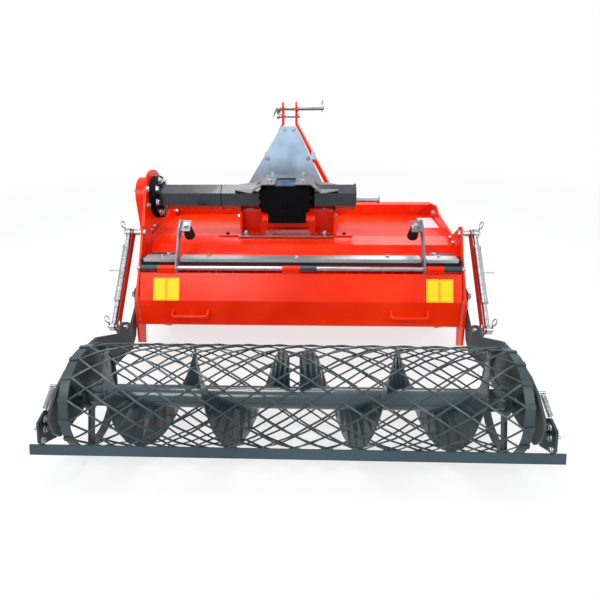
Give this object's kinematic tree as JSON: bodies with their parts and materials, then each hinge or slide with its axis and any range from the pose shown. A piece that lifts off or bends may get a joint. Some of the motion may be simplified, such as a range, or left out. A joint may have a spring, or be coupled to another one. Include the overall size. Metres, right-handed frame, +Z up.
{
  "type": "stone burier",
  "caption": "Rear-mounted stone burier: hooded reverse-turning tine rotor with stone grille, hinged door, link mast, offset gearbox and a mesh crumbler roller on adjustable arms.",
  "frame": {"origin": "on the ground, under the centre of the machine's bounding box in plan", "axes": "+X to the machine's right seen from behind, +Y in the direction of travel, +Z up"},
  "size_m": [1.836, 1.656, 1.154],
  "materials": {
    "red_paint": "gloss",
    "dark_paint": "satin",
    "grey_paint": "satin",
    "black_paint": "satin",
    "rubber": "matte",
    "zinc": "zinc plated",
    "galvanised": "galvanised",
    "worn_steel": "machined"
  },
  "bodies": {
    "hood": {"hood_shell": "red_paint", "side_plate_left": "red_paint", "side_plate_right": "red_paint", "cross_tube": "red_paint", "corner_gussets": "red_paint", "hinge_bar": "grey_paint", "rubber_strip": "rubber", "hinge_rod": "zinc", "hinge_sleeves": "dark_paint", "gearbox": "black_paint", "gearbox_saddle": "red_paint", "gearbox_bridge": "red_paint", "gearbox_guard": "grey_paint", "drive_tube_left": "dark_paint", "support_tube_right": "dark_paint", "drive_flange": "black_paint", "stowed_pin": "zinc", "gear_case": "red_paint", "rotor_bearing": "red_paint", "hitch_mast": "red_paint", "mast_brace": "red_paint", "top_link_pin": "zinc", "lower_mast_pin": "zinc", "pto_shield": "galvanised", "link_brackets": "red_paint", "lower_link_pins": "zinc", "stone_grille": "red_paint", "arm_pivot_pins": "zinc", "adjuster_top_pins": "zinc"},
    "door": {"door_panel": "red_paint", "door_sleeves": "red_paint", "door_handles": "red_paint", "stop_arms": "grey_paint", "stop_buffers": "rubber"},
    "roller_frame": {"arm_left": "dark_paint", "arm_right": "dark_paint", "roller_bearings": "dark_paint", "scraper_bar": "dark_paint", "scraper_brackets": "dark_paint", "scraper_springs": "zinc", "adjuster_low_pins": "zinc"},
    "roller": {"roller_axle": "dark_paint", "roller_hoops": "dark_paint", "roller_blades": "dark_paint", "roller_cage": "dark_paint"},
    "rotor": {"rotor_shaft": "red_paint", "rotor_flanges": "red_paint"},
    "pto": {"pto_shaft": "worn_steel"},
    "adjuster_left": {"adjuster_barrel_left": "zinc", "adjuster_strap_left": "red_paint"},
    "adjuster_right": {"adjuster_barrel_right": "zinc", "adjuster_strap_right": "red_paint"},
    "rod_left": {"adjuster_rod_left": "zinc"},
    "rod_right": {"adjuster_rod_right": "zinc"}
  },
  "joints": [
    {"name": "door_hinge", "type": "hinge", "parent": "hood", "child": "door", "pos_m": [0, -0.042, 0.485], "axis": [-1, 0, 0], "range_deg": [0, 14.5]},
    {"name": "arm_pivot", "type": "hinge", "parent": "hood", "child": "roller_frame", "pos_m": [0, -0.052, 0.352], "axis": [-1, 0, 0], "range_deg": [-5, 8]},
    {"name": "roller_spin", "type": "hinge", "parent": "roller_frame", "child": "roller", "pos_m": [0, -0.612, 0.2], "axis": [1, 0, 0], "continuous": true},
    {"name": "rotor_spin", "type": "hinge", "parent": "hood", "child": "rotor", "pos_m": [0, 0.353, 0.26], "axis": [1, 0, 0], "continuous": true},
    {"name": "pto_spin", "type": "hinge", "parent": "hood", "child": "pto", "pos_m": [-0.07, 0.502, 0.719], "axis": [0, 1, 0], "continuous": true},
    {"name": "adjuster_swing_left", "type": "hinge", "parent": "hood", "child": "adjuster_left", "pos_m": [-0.822, 0.091, 0.612], "axis": [-1, 0, 0], "range_deg": [-2.5, 3.6]},
    {"name": "rod_slide_left", "type": "slide", "parent": "adjuster_left", "child": "rod_left", "axis": [0, -0.7291, -0.6844], "range_m": [-0.0145, 0.009]},
    {"name": "adjuster_swing_right", "type": "hinge", "parent": "hood", "child": "adjuster_right", "pos_m": [0.822, 0.091, 0.612], "axis": [-1, 0, 0], "range_deg": [-2.5, 3.6]},
    {"name": "rod_slide_right", "type": "slide", "parent": "adjuster_right", "child": "rod_right", "axis": [0, -0.7291, -0.6844], "range_m": [-0.0145, 0.009]}
  ],
  "couplings": [
    {"joint": "pto_spin", "follows": "rotor_spin", "ratio": 2.16},
    {"joint": "adjuster_swing_left", "follows": "arm_pivot", "ratio": 0.399},
    {"joint": "rod_slide_left", "follows": "arm_pivot", "m_per_rad": -0.0946},
    {"joint": "adjuster_swing_right", "follows": "arm_pivot", "ratio": 0.399},
    {"joint": "rod_slide_right", "follows": "arm_pivot", "m_per_rad": -0.0946}
  ]
}
